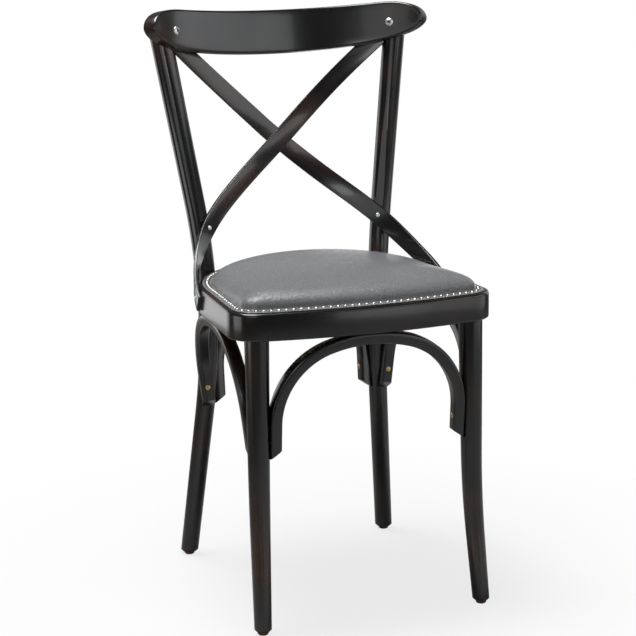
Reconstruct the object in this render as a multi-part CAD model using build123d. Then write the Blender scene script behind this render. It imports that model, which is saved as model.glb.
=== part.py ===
from build123d import *
import os
from math import asin, cos, pi, radians, sin, sqrt

# Bentwood dining chair with a crossed back and an upholstered, nail-trimmed seat.
# Sizes are in millimetres. X runs to the right as seen from the front, Y to the back, Z up.
# Each sided piece is drawn on the right and mirrored.

# Seat ring
seat_height = 475.5            # floor to the top of the bent ring
ring_height = 40.5
ring_wall = 34.0               # width of the bent section
ring_front = 192.5             # ring centre to the middle of the front
ring_front_radius = 950.0      # bow of the front
ring_corner_radius = 44.0
ring_back_radius = 197.0       # half-round back
ring_back_centre = -3.5        # y of the middle of the half-round back
ring_side_taper = 3.0          # degrees, sides close towards the back
ring_top_round = 4.5
ring_foot_round = 3.0

# Upholstered seat
board_thickness = 10.0
board_ledge = 14.0             # width of the ledge that carries the board
board_clearance = 0.4
pad_inset = 7.0                # ring edge to the edge of the leather
border_width = 13.0            # flat nailed border of the leather
leather = 1.5
foam_crown = 34.0              # height of the crown over the ring
crown_sections = 9             # plans that the crown is drawn through
crown_last_turn = 82.0         # degrees of the quarter ellipse at the topmost plan
nail_inset = 7.5               # edge of the leather to the nail row
nail_pitch = 11.0
nail_diameter = 8.4
nail_height = 2.4
nail_sides = 8
nail_crown = 0.55              # flat top of a nail over its width

# Front legs
leg_foot_x = 175.0
leg_foot_y = -190.5
leg_knee_rise = 170.0
leg_knee_x = 169.0
leg_knee_y = -165.0
leg_top_inset = 20.0           # ring edge to the leg axis
leg_top_x = 167.5
leg_bend_radius = 1050.0
leg_foot_diameter = 25.5
leg_knee_diameter = 30.5
leg_top_diameter = 36.0
tenon_diameter = 22.0
tenon_length = 25.0
tenon_fit = 0.15
leg_levels_start = 60.0
leg_levels = 8                 # sections that the leg is drawn through

# Back posts
post_foot_x = 170.8
post_foot_y = 187.5
post_knee_drop = 18.0          # underside of the ring to the bend
post_angle = 46.4              # degrees round the half-round back to the post
post_housing = 2.5             # depth that the post is hollowed to fit the ring
post_bend_radius = 950.0
post_levels_start = 60.0
post_levels = 12               # sections that the post is drawn through
knee_steps = 8                 # passes that place the knee
post_foot_diameter = 28.0
post_seat_diameter = 31.5
post_top_diameter = 35.0
post_top_lift = 16.0           # crest height to the top of the post
post_crest_x = 188.5           # middle of the crest to the post, along the crest's back
post_flat_top = 13.0           # axis to the planed face at the crest
post_flat_low = 15.4           # axis to the planed face at the slats
foot_bevel = 3.0

# Crest rail
crest_radius = 331.0           # front face
crest_thickness = 20.0
crest_lean = 13.0              # degrees
crest_front_y = 228.0          # middle of the front face
crest_rise = 850.0             # height of the same point
crest_flare = 247.0            # distance in front of the face to which the ends point
crest_half_length = 325.0      # these lengths lie on a plane through the middle of the front face
crest_flat = 195.0             # half of the straight top
crest_top = 17.8
crest_waist = -14.0            # height of the rail's widest place
crest_drop = 50.0
crest_edge_round = 2.5
crest_housing = 1.2            # depth that the post is hollowed to fit the crest

# Crossing slats
slat_width = 28.0
slat_thickness = 5.5
slat_gap = 0.3
slat_cross_share = 0.50334     # crossing, between the seat and the crest
slat_upper_x = 150.5
slat_upper_drop = 45.0         # crest height to the slat at that distance
slat_top_x = 171.0
slat_post_lift = 64.0          # seat to the screw on the post
slat_low_angle = 70.4          # degrees round the half-round back, between crossing and post
slat_low_radius = 205.3
slat_low_share = 0.52893
slat_bend_angle = 25.0         # past the post
slat_bend_lift = 19.0          # seat to the slat there
slat_end_angle = 8.0           # at the screw on the ring
slat_end_drop = 14.5           # seat down to that screw
slat_tail_angle = 3.5          # slat beyond its end screw
slat_sections = 15             # sections that a slat is drawn through

# Arches
arch_thickness = 18.0
arch_width = 20.0
arch_drop = 177.0              # underside of the ring to the ends
arch_shoulder_radius = 123.0
arch_crown_radius = 233.0
arch_end_slope = 12.5
arch_housing = 1.0             # depth that an arch is hollowed to fit a leg
arch_top_trim = 0.6            # planed off the crown to sit flat under the ring
arch_edge_round = 4.0
arch_screw_lift = 34.0         # ends to the screws in the limbs

# Fasteners
crest_screw_drop = 4.0         # crest height down to its screws
crest_screw_x = 175.5          # middle of the crest to its screws
dome_share = 0.55              # height of a domed head over its radius
crest_screw_head = 12.0
crest_screw_length = 42.0
crest_screw_key = 5.0          # width of the hexagon socket
crest_screw_socket = 2.4
slat_screw_x = 163.0           # middle of the crest to the screw behind it
slat_post_length = 22.0
slat_ring_length = 24.0
slat_crest_length = 20.0
arch_leg_length = 29.0
arch_ring_length = 36.0
small_screw_head = 7.5
brass_screw_head = 8.0
screw_shank = 4.0
bolt_diameter = 6.0
bolt_head = 16.0
bolt_sink = 2.5                # depth of the head's seat in the post
bolt_play = 0.5
bolt_end = 2.0                 # thread past the nut
washer_diameter = 18.0
washer_thickness = 1.6
washer_sink = 0.5
nut_width = 10.0
nut_thickness = 5.0
board_screw_turns = (24.0, 72.0)    # degrees round the half-round back
board_screw_x = 75.0           # and along the front
board_screw_length = 26.0
glide_diameter = 16.0
glide_height = 5.0
glide_bevel = 1.5
glide_pin = 3.0
glide_pin_length = 14.0

ring_bottom = seat_height - ring_height
bolt_rise = ring_bottom + (ring_height - board_thickness) / 2
arch_end_rise = ring_bottom - arch_drop
arch_screw_rise = arch_end_rise + arch_screw_lift
post_knee_rise = ring_bottom - post_knee_drop
post_top_rise = crest_rise + post_top_lift
crest_screw_rise = crest_rise - crest_screw_drop
slat_upper_rise = crest_rise - slat_upper_drop
slat_post_rise = seat_height + slat_post_lift
slat_bend_rise = seat_height + slat_bend_lift
slat_end_rise = seat_height - slat_end_drop
slat_cross_rise = seat_height + (crest_rise - seat_height) * slat_cross_share
slat_low_rise = slat_post_rise + (slat_cross_rise - slat_post_rise) * slat_low_share


def mirrored(shape):
    """The same piece on the other side of the chair."""
    return mirror(shape, about=Plane.YZ)


def to_side(point, side):
    """A point of the right half, carried to the given side."""
    return Vector(side * point.X, point.Y, point.Z)


# Seat plan

def seat_outline(inset=0.0):
    """Plan of the ring pulled in by inset: bowed front, tapering sides and half-round back."""
    taper = radians(ring_side_taper)
    back_middle = Vector(0, ring_back_centre)
    tangent = back_middle + Vector(cos(taper), sin(taper)) * ring_back_radius
    along = Vector(sin(taper), -cos(taper))
    bow_middle = Vector(0, ring_front_radius - ring_front)
    reach = tangent - bow_middle
    half = along.dot(reach)
    corner = tangent + along * (sqrt(half**2 - reach.dot(reach) + ring_front_radius**2) - half)
    left_corner = to_side(corner, -1)
    left_tangent = to_side(tangent, -1)
    edges = [
        ThreePointArc(left_corner, Vector(0, -ring_front), corner),
        Line(corner, tangent),
        ThreePointArc(tangent, Vector(0, ring_back_centre + ring_back_radius), left_tangent),
        Line(left_tangent, left_corner),
    ]
    plan = make_face(edges)
    plan = fillet(plan.vertices().sort_by(Axis.Y)[:2], ring_corner_radius)
    return offset(plan, -inset) if inset else plan


def seat_plate(inset, bottom, height):
    """Flat plate of the seat plan."""
    return Pos(0, 0, bottom) * extrude(seat_outline(inset), height)


def seat_crown(grow):
    """Crowned pad: the plan shrinks towards the middle as it rises, along a quarter ellipse."""
    plan = seat_outline(pad_inset + border_width - grow)
    sections = []
    for turn in spaced(0, crown_last_turn, crown_sections):
        level = seat_height + (foam_crown + grow) * sin(radians(turn))
        sections.append(Pos(0, 0, level) * scale(plan, cos(radians(turn)), about=(0, 0, 0)))
    return loft(sections, ruled=True)


# Bent round members

def bent_axis(foot, knee, top, radius):
    """Two straight runs joined by an arc of the given radius at the knee."""
    low = (knee - foot).normalized()
    high = (top - knee).normalized()
    half_turn = radians(low.get_angle(high)) / 2
    run = radius * sin(half_turn) / cos(half_turn)
    inward = (high - low).normalized()
    middle = knee + inward * (radius / cos(half_turn) - radius)
    start = knee - low * run
    end = knee + high * run
    return Wire([Line(foot, start), ThreePointArc(start, middle, end), Line(end, top)])


def at_height(axis, rise):
    """Point of an axis at a height, found by halving."""
    low, high = 0.0, 1.0
    for _ in range(40):
        middle = (low + high) / 2
        if axis.position_at(middle).Z < rise:
            low = middle
        else:
            high = middle
    return axis.position_at((low + high) / 2)


def between(rise, stations):
    """Diameter at a height, by straight lines between the stations."""
    for (low, a), (high, b) in zip(stations, stations[1:]):
        if rise <= high:
            return a + (b - a) * (rise - low) / (high - low)
    return stations[-1][1]


def round_member(axis, stations, levels):
    """Round wood along an axis: level circles, with a bevelled foot."""
    discs = []
    for level in levels:
        centre = at_height(axis, level)
        discs.append(Pos(centre.X, centre.Y, level) * Circle(between(level, stations) / 2))
    foot = at_height(axis, glide_height)
    sole = Pos(foot.X, foot.Y, glide_height) * Circle(between(glide_height, stations) / 2 - foot_bevel)
    return loft(discs) + loft([sole, discs[0]], ruled=True)


def spaced(low, high, count):
    """Evenly spaced values from low to high."""
    return [low + (high - low) * i / (count - 1) for i in range(count)]


leg_stations = [
    (0.0, leg_foot_diameter),
    (leg_knee_rise, leg_knee_diameter),
    (ring_bottom, leg_top_diameter),
]
post_stations = [
    (0.0, post_foot_diameter),
    (seat_height, post_seat_diameter),
    (post_top_rise, post_top_diameter),
]


def front_edge(x):
    """Y of the ring's bowed front at a distance x from the middle."""
    return ring_front_radius - ring_front - sqrt(ring_front_radius**2 - x**2)


def leg_axis():
    """Axis of the right front leg, its top a set distance in from the ring's front edge."""
    top = Vector(leg_top_x, front_edge(leg_top_x) + leg_top_inset, ring_bottom)
    knee = Vector(leg_knee_x, leg_knee_y, leg_knee_rise)
    return bent_axis(Vector(leg_foot_x, leg_foot_y, 0), knee, top, leg_bend_radius)


def back_direction(angle):
    """Level direction from the middle of the half-round back."""
    return Vector(cos(radians(angle)), sin(radians(angle)))


def back_point(angle, radius, rise):
    """Point at an angle and a distance from the middle of the half-round back."""
    return Vector(0, ring_back_centre, rise) + back_direction(angle) * radius


ring_middle = seat_height - ring_height / 2
post_seat_radius = ring_back_radius + post_seat_diameter / 2 - post_housing


# Crest rail frame: local X across, local Y to the back, local Z up the lean

crest_plane = Plane(
    origin=(0, crest_front_y, crest_rise),
    x_dir=(1, 0, 0),
    z_dir=(0, sin(radians(crest_lean)), cos(radians(crest_lean))),
)


def on_crest(x, depth, rise):
    """Point behind the crest's front face at a distance x from the middle and at a height."""
    radius = crest_radius + depth
    back = sqrt(radius**2 - x**2) - crest_radius
    up = crest_plane.z_dir
    behind = crest_plane.y_dir
    level = (rise - crest_rise - back * behind.Z) / up.Z
    return crest_plane.origin + Vector(x, 0, 0) + behind * back + up * level


def crest_normal(x, depth):
    """Direction out of the crest's back at a distance x from the middle."""
    turn = asin(x / (crest_radius + depth))
    return (crest_plane.x_dir * sin(turn) + crest_plane.y_dir * cos(turn)).normalized()


def crest_slab():
    """Bowed board of the crest, longer than the finished rail."""
    board = Circle(crest_radius + crest_thickness) - Circle(crest_radius)
    board = Pos(0, -crest_radius) * board
    height = 2 * (crest_top + crest_drop)
    return crest_plane * extrude(board, height, both=True)


def crest_outline(share):
    """Front view of the rail: straight top, half-elliptical foot, its length changed by a share."""
    half = crest_half_length * share
    flat = crest_flat * share
    crown = Vector(flat, crest_top)
    end = crest_top - crest_waist
    edges = [
        Line(to_side(crown, -1), crown),
        EllipticalCenterArc((flat, crest_waist), half - flat, end, 0, arc_size=90),
        EllipticalCenterArc((-flat, crest_waist), half - flat, end, 90, arc_size=90),
        EllipticalCenterArc((0, crest_waist), half, crest_drop + crest_waist, 180, arc_size=180),
    ]
    return make_face(edges)


def crest_rail():
    """The bowed board cut to its outline, with ends that point to one place in front of it."""
    face = Plane(crest_plane.origin, x_dir=crest_plane.x_dir, z_dir=-crest_plane.y_dir)
    sections = []
    for depth in (crest_flare * 0.4, -2 * crest_thickness):
        share = (crest_flare - depth) / crest_flare
        sections.append(face * Pos(0, 0, depth) * crest_outline(share))
    rail = crest_slab() & loft(sections, ruled=True)
    return fillet(rail.edges(), crest_edge_round)


# Back posts

def post_axis():
    """Axis of the right post: from its foot, past its seat on the ring, to its place behind the crest."""
    foot = Vector(post_foot_x, post_foot_y, 0)
    seat = back_point(post_angle, post_seat_radius, ring_middle)
    crest = post_behind_crest()
    knee = Vector(seat.X, seat.Y, post_knee_rise)
    for _ in range(knee_steps):
        high = (crest - knee) / (crest.Z - knee.Z)
        top = knee + high * (post_top_rise - knee.Z)
        axis = bent_axis(foot, knee, top, post_bend_radius)
        miss = seat - at_height(axis, seat.Z)
        knee = knee + Vector(miss.X, miss.Y, 0)
    return axis


def post_behind_crest():
    """Point of the right post's axis at the height of the crest screw."""
    depth = crest_thickness - crest_housing
    return on_crest(post_crest_x, depth, crest_screw_rise) + crest_normal(post_crest_x, depth) * post_flat_top


def post_flat():
    """Plane of the right post's planed face, with its normal to the front."""
    normal = crest_normal(post_crest_x, crest_thickness)
    high = post_behind_crest() - normal * post_flat_top
    low = at_height(post_axis(), slat_post_rise) - normal * post_flat_low
    return Plane(low, x_dir=high - low, z_dir=-normal)


def back_post():
    """Right post: round and tapered, planed flat in front, hollowed for the ring and the crest."""
    levels = [glide_height + foot_bevel] + spaced(post_levels_start, post_top_rise, post_levels)
    post = round_member(post_axis(), post_stations, levels)
    reach = post_top_rise - ring_bottom
    waste = Pos(0, 0, post_top_diameter / 2) * Box(2 * reach, 2 * post_top_diameter, post_top_diameter)
    post -= post_flat() * waste
    post -= seat_plate(0, ring_bottom, ring_height)
    post -= crest_slab()
    return post


# Crossing slats

def slat_rise(x):
    """Height of a slat's middle line on the bowed back, at a distance x from the crossing."""
    return slat_cross_rise + x * (slat_upper_rise - slat_cross_rise) / slat_upper_x


slat_depth = crest_thickness + slat_gap + slat_thickness / 2
slat_end_radius = ring_back_radius + slat_gap + slat_thickness / 2


def slat_keys():
    """Middle points and outward normals of the slat that runs from upper left to lower right."""
    keys = []
    for x in (-slat_top_x, -slat_upper_x, -slat_upper_x / 2, 0):
        keys.append((on_crest(x, slat_depth, slat_rise(-x)), crest_normal(x, slat_depth)))
    flat = post_flat()
    seat = flat.origin + flat.z_dir * (slat_gap + slat_thickness / 2)
    low = back_point(slat_low_angle, slat_low_radius, slat_low_rise)
    keys.append((low, (keys[-1][1] - flat.z_dir).normalized()))
    keys.append((seat, -flat.z_dir))
    fall = (slat_bend_rise - slat_end_rise) / (slat_bend_angle - slat_end_angle)
    for turn in (slat_bend_angle, slat_end_angle, slat_end_angle - slat_tail_angle):
        rise = slat_end_rise + (turn - slat_end_angle) * fall
        keys.append((back_point(turn, slat_end_radius, rise), back_direction(turn)))
    return keys


def cross_slat():
    """Bent strip drawn through even sections that turn with the back, the post and the ring."""
    keys = slat_keys()
    path = Spline([point for point, _ in keys])
    places = [path.param_at_point(point) for point, _ in keys]
    sections = []
    for place in spaced(0, 1, slat_sections):
        i = max(k for k in range(len(keys) - 1) if places[k] <= place)
        share = (place - places[i]) / (places[i + 1] - places[i])
        outward = keys[i][1] + (keys[i + 1][1] - keys[i][1]) * share
        along = path.tangent_at(place)
        plane = Plane(path.position_at(place), x_dir=outward.cross(along), z_dir=along)
        sections.append(plane * Rectangle(slat_width, slat_thickness))
    return loft(sections)


def lapped(front, rear):
    """Two crossing strips, each cut to half its thickness where they cross."""
    crossing = on_crest(0, slat_depth, slat_cross_rise)
    behind = Plane(crossing, x_dir=crest_plane.x_dir, z_dir=crest_plane.y_dir)
    reach = 4 * slat_width
    half = behind * Pos(0, 0, reach / 2) * Box(reach, reach, reach)
    front = front - (rear & half)
    return front, rear - front


# Arches

def arch_plane(end_a, end_b, crown):
    """Plane of an arch: origin between its ends, X from end to end, Y up to the crown."""
    across = (end_b - end_a).normalized()
    up = crown - (end_a + end_b) / 2
    up = (up - across * up.dot(across)).normalized()
    return Plane((end_a + end_b) / 2, x_dir=across, z_dir=across.cross(up))


def arch_curve(half_span, rise, inward):
    """Points of half an arch, from the limb up to the crown, set inward from the outer face."""
    shoulder = arch_shoulder_radius
    crown = arch_crown_radius
    level = rise - crown + sqrt((crown - shoulder) ** 2 - (half_span - shoulder) ** 2)
    turn = asin((half_span - shoulder) / (crown - shoulder))
    middle = Vector(half_span - shoulder, level)
    small = shoulder - inward
    lean = (pi / 2 - turn) / 2
    spring = middle + Vector(small, 0)
    bend = middle + Vector(cos(lean), sin(lean)) * small
    meet = middle + Vector(sin(turn), cos(turn)) * small
    return spring, bend, meet, Vector(0, rise - inward)


def bent_arch(end_a, end_b, crown):
    """Flat bent arch between two legs, with sloping ends and rounded long edges."""
    plane = arch_plane(end_a, end_b, crown)
    half_span = (end_b - end_a).length / 2
    rise = (crown - plane.origin).dot(plane.y_dir)
    outer = arch_curve(half_span, rise, 0)
    inner = arch_curve(half_span, rise, arch_thickness)
    flip = lambda point: to_side(point, -1)
    tip = Vector(half_span, 0)
    heel = Vector(half_span - arch_thickness, arch_end_slope)
    edges = [Line(tip, heel), Line(flip(tip), flip(heel))]
    for (spring, bend, meet, top), foot in ((outer, tip), (inner, heel)):
        edges += [
            Line(foot, spring),
            ThreePointArc(spring, bend, meet),
            ThreePointArc(meet, top, flip(meet)),
            ThreePointArc(flip(meet), flip(bend), flip(spring)),
            Line(flip(spring), flip(foot)),
        ]
    arch = extrude(make_face(edges), arch_width / 2, both=True)
    rims = arch.faces().filter_by(GeomType.PLANE).sort_by(Axis.Z)
    return plane * fillet(rims[0].edges() + rims[-1].edges(), arch_edge_round)


def arch_places():
    """Ends and crown of the front, rear, right and left arches."""
    rise = arch_end_rise
    leg = at_height(leg_axis(), rise)
    leg = Vector(leg.X, leg.Y, rise)
    leg_reach = between(rise, leg_stations) / 2 - arch_housing
    post = at_height(post_axis(), rise)
    post = Vector(post.X, post.Y, rise)
    post_reach = between(rise, post_stations) / 2 - arch_housing
    half_wall = ring_wall / 2
    front = leg - Vector(leg_reach, 0, 0)
    rear = post - Vector(post_reach, 0, 0)
    side_front = leg + Vector(0, leg_reach, 0)
    side_rear = post - Vector(0, post_reach, 0)
    side_x = ring_back_radius - half_wall
    back_y = ring_back_centre + ring_back_radius - half_wall
    top = ring_bottom + arch_top_trim
    return {
        "front_arch": (to_side(front, -1), front, Vector(0, half_wall - ring_front, top)),
        "rear_arch": (rear, to_side(rear, -1), Vector(0, back_y, top)),
        "right_arch": (side_front, side_rear, Vector(side_x, (leg.Y + post.Y) / 2, top)),
        "left_arch": (
            to_side(side_rear, -1),
            to_side(side_front, -1),
            Vector(-side_x, (leg.Y + post.Y) / 2, top),
        ),
    }


def arch_screw_places(end_a, end_b, crown):
    """Places and directions of the two screws through the limbs and the one up through the crown."""
    plane = arch_plane(end_a, end_b, crown)
    reach = (end_b - end_a).length / 2 - arch_thickness
    level = (arch_screw_rise - plane.origin.Z) / plane.y_dir.Z
    limbs = []
    for side in (-1, 1):
        start = plane.origin + plane.y_dir * level + plane.x_dir * (side * reach)
        limbs.append(Plane(start, z_dir=plane.x_dir * side))
    return limbs, Plane(crown - plane.y_dir * arch_thickness, z_dir=plane.y_dir)


# Fasteners

def turned(points):
    """Solid turned about its axis from a profile of radius and height."""
    return revolve(make_face(Plane.XZ * Polyline(points, close=True)), Axis.Z)


def countersunk_screw(head, length):
    """Screw with a flat sunk head at its origin and its shank up the axis."""
    shank = screw_shank / 2
    sink = head / 2 - shank
    return turned([(0, 0), (head / 2, 0), (shank, sink), (shank, length), (0, length)])


def domed_screw(head, length, shank):
    """Screw with a low domed head below its origin and its shank up the axis."""
    radius = head / 2
    height = radius * dome_share
    dome = [(radius * sin(turn), -height * cos(turn)) for turn in (0, pi / 6, pi / 3, pi / 2)]
    return turned(dome + [(shank / 2, 0), (shank / 2, length), (0, length)])


def crest_screw_plane():
    """Place of the right crest screw on the crest's front face, pointing into the post."""
    return Plane(on_crest(crest_screw_x, 0, crest_screw_rise), z_dir=crest_normal(crest_screw_x, 0))


def crest_screw():
    """Domed screw with a hexagon socket."""
    depth = crest_screw_head / 2 * dome_share
    socket = Pos(0, 0, -depth) * extrude(RegularPolygon(crest_screw_key / 2, 6, False), crest_screw_socket)
    return domed_screw(crest_screw_head, crest_screw_length, screw_shank) - socket


def slat_screw_planes():
    """Places of the right slat's screws: on the post, on the ring and behind the crest."""
    flat = post_flat()
    proud = slat_gap + slat_thickness
    post = Plane(flat.origin + flat.z_dir * proud, z_dir=-flat.z_dir)
    outward = back_direction(slat_end_angle)
    ring = Plane(back_point(slat_end_angle, ring_back_radius + proud, slat_end_rise), z_dir=-outward)
    back = on_crest(slat_screw_x, crest_thickness + proud, slat_rise(slat_screw_x))
    crest = Plane(back, z_dir=-crest_normal(slat_screw_x, crest_thickness + proud))
    return post, ring, crest


def bolt_plane():
    """Place of the right bolt's head on the outside of the post, pointing to the middle of the seat."""
    radius = post_seat_radius + post_seat_diameter / 2 - bolt_sink
    return Plane(back_point(post_angle, radius, bolt_rise), z_dir=-back_direction(post_angle))


def bolt_seat_plane():
    """Place of the right bolt's washer in a shallow round sinking of the ring's inner face."""
    radius = ring_back_radius - ring_wall + washer_sink
    return Plane(back_point(post_angle, radius, bolt_rise), z_dir=-back_direction(post_angle))


def bolt_length():
    """Head to the end of the thread, which stands past the nut."""
    grip = (bolt_seat_plane().origin - bolt_plane().origin).length
    return grip + washer_thickness + nut_thickness + bolt_end


def glide(axis):
    """Round glide under a foot, with its pin up the leg."""
    foot = at_height(axis, glide_height)
    radius = glide_diameter / 2
    pin = glide_pin / 2
    points = [(0, 0), (radius - glide_bevel, 0), (radius, glide_bevel), (radius, glide_height)]
    points += [(pin, glide_height), (pin, glide_height + glide_pin_length), (0, glide_height + glide_pin_length)]
    return Pos(foot.X, foot.Y, 0) * turned(points)


def both_sides(shape):
    """A piece of the right half and its mirror image, as separate solids."""
    return [shape, mirrored(shape)]


def cut(shape, tools):
    """A shape less several others."""
    for tool in tools:
        shape = shape - tool
    return shape


# Seat

def tenon(grow):
    """Round tenon on top of the right front leg, or the hole for it."""
    top = at_height(leg_axis(), ring_bottom)
    length = tenon_length + grow
    return Pos(top.X, top.Y, ring_bottom + length / 2) * Cylinder(tenon_diameter / 2 + grow, length)


def seat_ring():
    """Bent ring with rounded outer edges, a ledge for the board and holes for the tenons."""
    ring = seat_plate(0, ring_bottom, ring_height)
    ring = fillet(ring.faces().sort_by(Axis.Z)[-1].edges(), ring_top_round)
    ring = fillet(ring.faces().sort_by(Axis.Z)[0].edges(), ring_foot_round)
    ring -= seat_plate(ring_wall, ring_bottom, ring_height)
    ring -= seat_plate(ring_wall - board_ledge, seat_height - board_thickness, board_thickness)
    return cut(ring, both_sides(tenon(tenon_fit)))


def seat_cover():
    """Leather skin over the crown with its flat border on the ring."""
    border = seat_plate(pad_inset, seat_height, leather)
    return border + seat_crown(leather) - seat_crown(0)


def nails():
    """Faceted domes in a row round the border."""
    row = seat_outline(pad_inset + nail_inset).face().outer_wire()
    count = round(row.length / nail_pitch)
    base = RegularPolygon(nail_diameter / 2, nail_sides)
    nail = loft([base, Pos(0, 0, nail_height) * scale(base, nail_crown)], ruled=True)
    spots = [row.position_at((i + 0.5) / count) for i in range(count)]
    return [Pos(spot.X, spot.Y, seat_height + leather) * nail for spot in spots]


def board_screws():
    """Sunk screws that hold the board down on the middle of its ledge."""
    inset = ring_wall - board_ledge / 2
    spots = [back_point(turn, ring_back_radius - inset, seat_height) for turn in board_screw_turns]
    spots.append(Vector(board_screw_x, front_edge(board_screw_x) + inset, seat_height))
    screw = Rot(180, 0, 0) * countersunk_screw(brass_screw_head, board_screw_length)
    screws = []
    for spot in spots:
        screws += both_sides(Pos(spot) * screw)
    return screws


def front_leg():
    """Right front leg: round, tapered, swept out at its foot, with a tenon."""
    levels = [glide_height + foot_bevel] + spaced(leg_levels_start, ring_bottom, leg_levels)
    return round_member(leg_axis(), leg_stations, levels) + tenon(0)


# Assembly

def chair():
    """Every piece of the chair by name."""
    pieces = {}
    leg = front_leg()
    post = back_post()
    glides = [glide(leg_axis()), glide(post_axis())]
    leg -= glides[0]
    post -= glides[1]
    ring = seat_ring()
    board = seat_plate(ring_wall - board_ledge + board_clearance, seat_height - board_thickness, board_thickness)
    crest = crest_rail()
    rear_slat = cross_slat() - mirrored(post)
    rear_slat -= post
    front_slat, rear_slat = lapped(mirrored(rear_slat), rear_slat)

    into_crest = crest_screw_plane() * crest_screw()
    on_post, on_ring, behind = slat_screw_planes()
    into_post = on_post * domed_screw(small_screw_head, slat_post_length, screw_shank)
    into_ring = on_ring * domed_screw(small_screw_head, slat_ring_length, screw_shank)
    from_behind = behind * domed_screw(small_screw_head, slat_crest_length, screw_shank)
    bolt = bolt_plane() * domed_screw(bolt_head, bolt_length(), bolt_diameter)
    well = bolt_plane() * Pos(0, 0, -bolt_head / 2) * Cylinder(bolt_head / 2 + bolt_play, bolt_head)
    seat = bolt_seat_plane()
    hole = Cylinder(bolt_diameter / 2, 2 * ring_wall)
    washer = Pos(0, 0, washer_thickness / 2) * Cylinder(washer_diameter / 2, washer_thickness) - hole
    nut = Pos(0, 0, washer_thickness) * extrude(RegularPolygon(nut_width / 2, 6, False), nut_thickness) - hole
    sinking = Pos(0, 0, ring_wall / 4) * Cylinder(washer_diameter / 2 + bolt_play, ring_wall / 2)

    post = cut(post, [into_crest, into_post, bolt, well])
    ring = cut(ring, both_sides(into_ring) + both_sides(bolt) + both_sides(seat * sinking))
    crest = cut(crest, both_sides(into_crest) + both_sides(from_behind))
    slat_screws = both_sides(into_post) + both_sides(into_ring) + both_sides(from_behind)
    front_slat = cut(front_slat, slat_screws)
    rear_slat = cut(rear_slat, slat_screws)

    limb_screws = []
    crown_screws = []
    above = Pos(0, 0, ring_bottom + ring_height / 2) * Box(4 * ring_front, 4 * ring_front, ring_height)
    for name, (end_a, end_b, crown) in arch_places().items():
        limbs, top = arch_screw_places(end_a, end_b, crown)
        screws = [place * countersunk_screw(brass_screw_head, arch_leg_length) for place in limbs]
        screws.append(top * countersunk_screw(brass_screw_head, arch_ring_length))
        arch = bent_arch(end_a, end_b, crown) - above
        pieces[name] = cut(arch, both_sides(leg) + both_sides(post) + screws)
        limb_screws += screws[:2]
        crown_screws += screws[2:]
    ring = cut(ring, crown_screws)
    right_screws = [screw for screw in limb_screws if screw.center().X > 0]
    leg = cut(leg, right_screws)
    post = cut(post, right_screws)

    holders = board_screws()
    ring = cut(ring, holders)
    pieces["seat_ring"] = ring
    pieces["seat_board"] = cut(board, holders)
    pieces["seat_foam"] = seat_crown(0)
    pieces["seat_cover"] = seat_cover()
    pieces["front_leg_right"], pieces["front_leg_left"] = both_sides(leg)
    pieces["back_post_right"], pieces["back_post_left"] = both_sides(post)
    pieces["crest_rail"] = crest
    pieces["cross_slat_front"] = front_slat
    pieces["cross_slat_rear"] = rear_slat
    groups = {
        "nailhead_trim": nails(),
        "crest_screws": both_sides(into_crest),
        "slat_post_screws": both_sides(into_post),
        "slat_ring_screws": both_sides(into_ring),
        "slat_crest_screws": both_sides(from_behind),
        "arch_leg_screws": limb_screws,
        "arch_ring_screws": crown_screws,
        "post_bolts": both_sides(bolt),
        "post_washers": both_sides(seat * washer),
        "post_nuts": both_sides(seat * nut),
        "board_screws": holders,
        "floor_glides": both_sides(glides[0]) + both_sides(glides[1]),
    }
    for name, solids in groups.items():
        pieces[name] = Compound(solids)
    return pieces


def export(pieces):
    """Each piece in a file of its own, with the origin under the middle of the whole chair."""
    boxes = [piece.bounding_box() for piece in pieces.values()]
    middle = (min(box.min.Y for box in boxes) + max(box.max.Y for box in boxes)) / 2
    os.makedirs("parts", exist_ok=True)
    for name, piece in pieces.items():
        export_step(Pos(0, -middle, 0) * piece, "parts/" + name + ".step")


export(chair())
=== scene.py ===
# %% [markdown]
# # A bentwood dining chair
# The chair's solids come in as a fixed frame. Each cell below dresses one group of pieces
# with a smooth surface and a finish, in the same place as the solid that it stands for.

import bmesh
import bpy
import numpy as np
from mathutils import Matrix, Vector


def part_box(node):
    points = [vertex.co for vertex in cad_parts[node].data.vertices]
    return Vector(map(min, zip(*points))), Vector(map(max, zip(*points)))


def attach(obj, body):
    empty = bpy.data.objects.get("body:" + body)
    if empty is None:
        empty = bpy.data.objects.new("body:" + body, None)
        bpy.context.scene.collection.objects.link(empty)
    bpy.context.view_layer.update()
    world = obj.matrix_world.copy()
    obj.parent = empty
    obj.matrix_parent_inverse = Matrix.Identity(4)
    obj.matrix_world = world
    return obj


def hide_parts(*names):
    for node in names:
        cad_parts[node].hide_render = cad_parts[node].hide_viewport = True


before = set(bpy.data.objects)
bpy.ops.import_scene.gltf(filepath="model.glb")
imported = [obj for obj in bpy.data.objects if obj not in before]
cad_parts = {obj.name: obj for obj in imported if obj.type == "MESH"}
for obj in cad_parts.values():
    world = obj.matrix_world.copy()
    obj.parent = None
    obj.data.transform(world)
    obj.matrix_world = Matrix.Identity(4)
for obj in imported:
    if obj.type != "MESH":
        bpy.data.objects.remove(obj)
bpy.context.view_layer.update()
MM = 0.001

# %% [markdown]
# ## From arrays to pieces
# Every surface here is a grid of points worked out by a formula, so one function turns any
# grid into a piece. Points are in millimetres in the maker's own frame, in which the ring's
# round back is centred just behind the middle. The frame's origin is under the middle of the
# whole chair, so the ring's box gives the shift between the two.

# %% Shift between the frames
ring_front = 192.5
to_origin = np.array([0.0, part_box("seat_ring")[0].y / MM + ring_front, 0.0])
print("shift to the frame's origin:", to_origin.round(2))

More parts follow.
